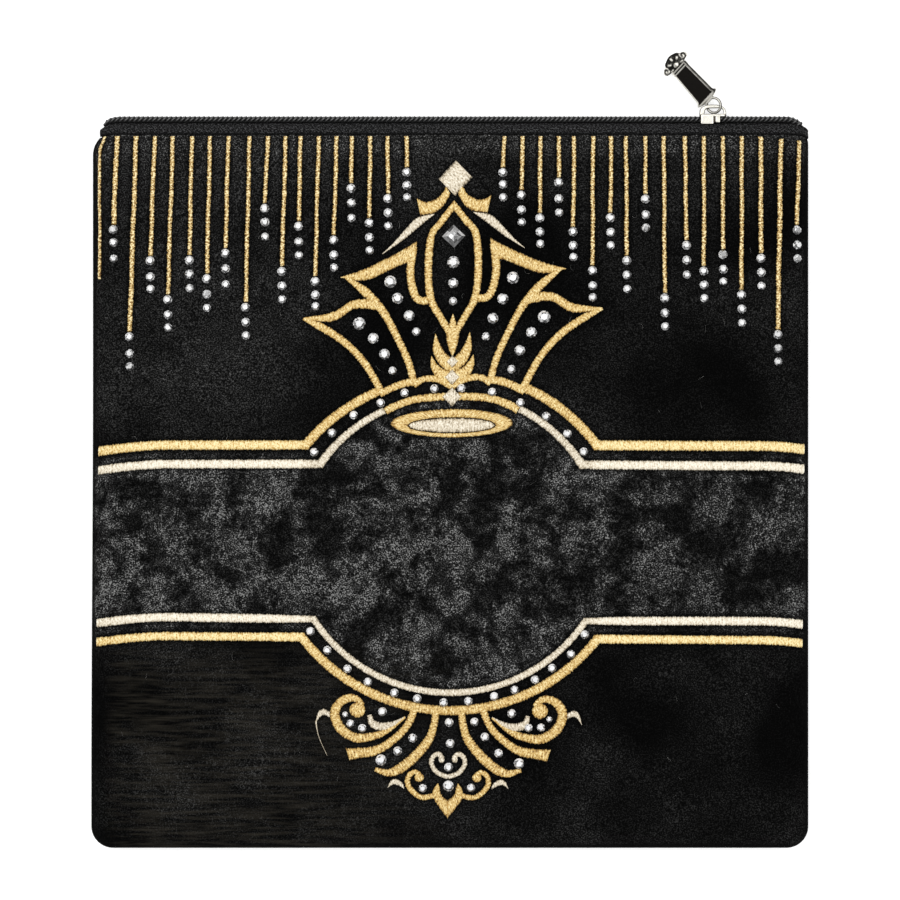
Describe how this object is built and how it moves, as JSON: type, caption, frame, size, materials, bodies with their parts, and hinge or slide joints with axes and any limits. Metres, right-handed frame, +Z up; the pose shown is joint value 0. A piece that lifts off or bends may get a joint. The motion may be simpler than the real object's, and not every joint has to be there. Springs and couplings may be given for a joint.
{
  "type": "tallit bag",
  "caption": "Flat square velvet bag for a prayer shawl, with raised embroidery, set stones and a zip along its top edge with a swinging pull.",
  "frame": {"origin": "the middle of the flat underside that the bag lies on", "axes": "+X to the right of the embroidered front, +Y towards the zip at its top edge, +Z up out of the front"},
  "size_m": [0.359, 0.4004, 0.0269],
  "materials": {
    "velvet": "black crushed velvet with a short pile",
    "zip_tape": "dark grey woven zip tape",
    "zip_coil": "black nylon coil",
    "metal": "warm nickel plate, the cast pull darkened in its recesses",
    "gold_thread": "gold satin stitch",
    "cream_thread": "cream satin stitch",
    "crystal": "clear cut stones with a silvered foot"
  },
  "bodies": {
    "bag": {"front_panel": "velvet", "back_panel": "velvet", "zip_tape_front": "zip_tape", "zip_tape_back": "zip_tape", "zip_coil_front": "zip_coil", "zip_coil_back": "zip_coil", "zip_slider": "metal", "stripes_left": "gold_thread", "stripes_right": "gold_thread", "crown_frame": "gold_thread", "crown_band_lower": "gold_thread", "crown_ring": "gold_thread", "crown_oval": "cream_thread", "crown_diamond": "cream_thread", "crown_horn_left": "gold_thread", "crown_horn_right": "gold_thread", "crown_wing_left": "cream_thread", "crown_wing_right": "cream_thread", "crown_gem_1": "cream_thread", "crown_gem_2": "cream_thread", "crown_gem_3": "cream_thread", "border_gold_upper_left": "gold_thread", "border_gold_upper_right": "gold_thread", "border_cream_upper_left": "cream_thread", "border_cream_upper_right": "cream_thread", "border_cream_lower": "cream_thread", "border_gold_lower": "gold_thread", "palmette_scroll_left": "gold_thread", "palmette_scroll_right": "gold_thread", "palmette_hook_left": "cream_thread", "palmette_hook_right": "cream_thread", "palmette_crescent_left": "cream_thread", "palmette_crescent_right": "cream_thread", "palmette_sprig_left": "cream_thread", "palmette_sprig_right": "cream_thread", "palmette_fleur": "gold_thread", "palmette_lyre": "cream_thread", "stone_square": "crystal", "stone_lens_1": "crystal", "stone_lens_2": "crystal", "stone_lens_3": "crystal", "stone_inner_left_1": "crystal", "stone_inner_left_2": "crystal", "stone_inner_left_3": "crystal", "stone_inner_left_4": "crystal", "stone_inner_right_1": "crystal", "stone_inner_right_2": "crystal", "stone_inner_right_3": "crystal", "stone_inner_right_4": "crystal", "stone_outer_left_1": "crystal", "stone_outer_left_2": "crystal", "stone_outer_left_3": "crystal", "stone_outer_left_4": "crystal", "stone_outer_right_1": "crystal", "stone_outer_right_2": "crystal", "stone_outer_right_3": "crystal", "stone_outer_right_4": "crystal"},
    "pull": {"zip_pull": "metal"}
  },
  "joints": [
    {"name": "pull_swing", "type": "hinge", "parent": "bag", "child": "pull", "pos_m": [0.1328, 0.1925, 0.01015], "axis": [1, 0, 0], "range_deg": [-75, 110]}
  ]
}
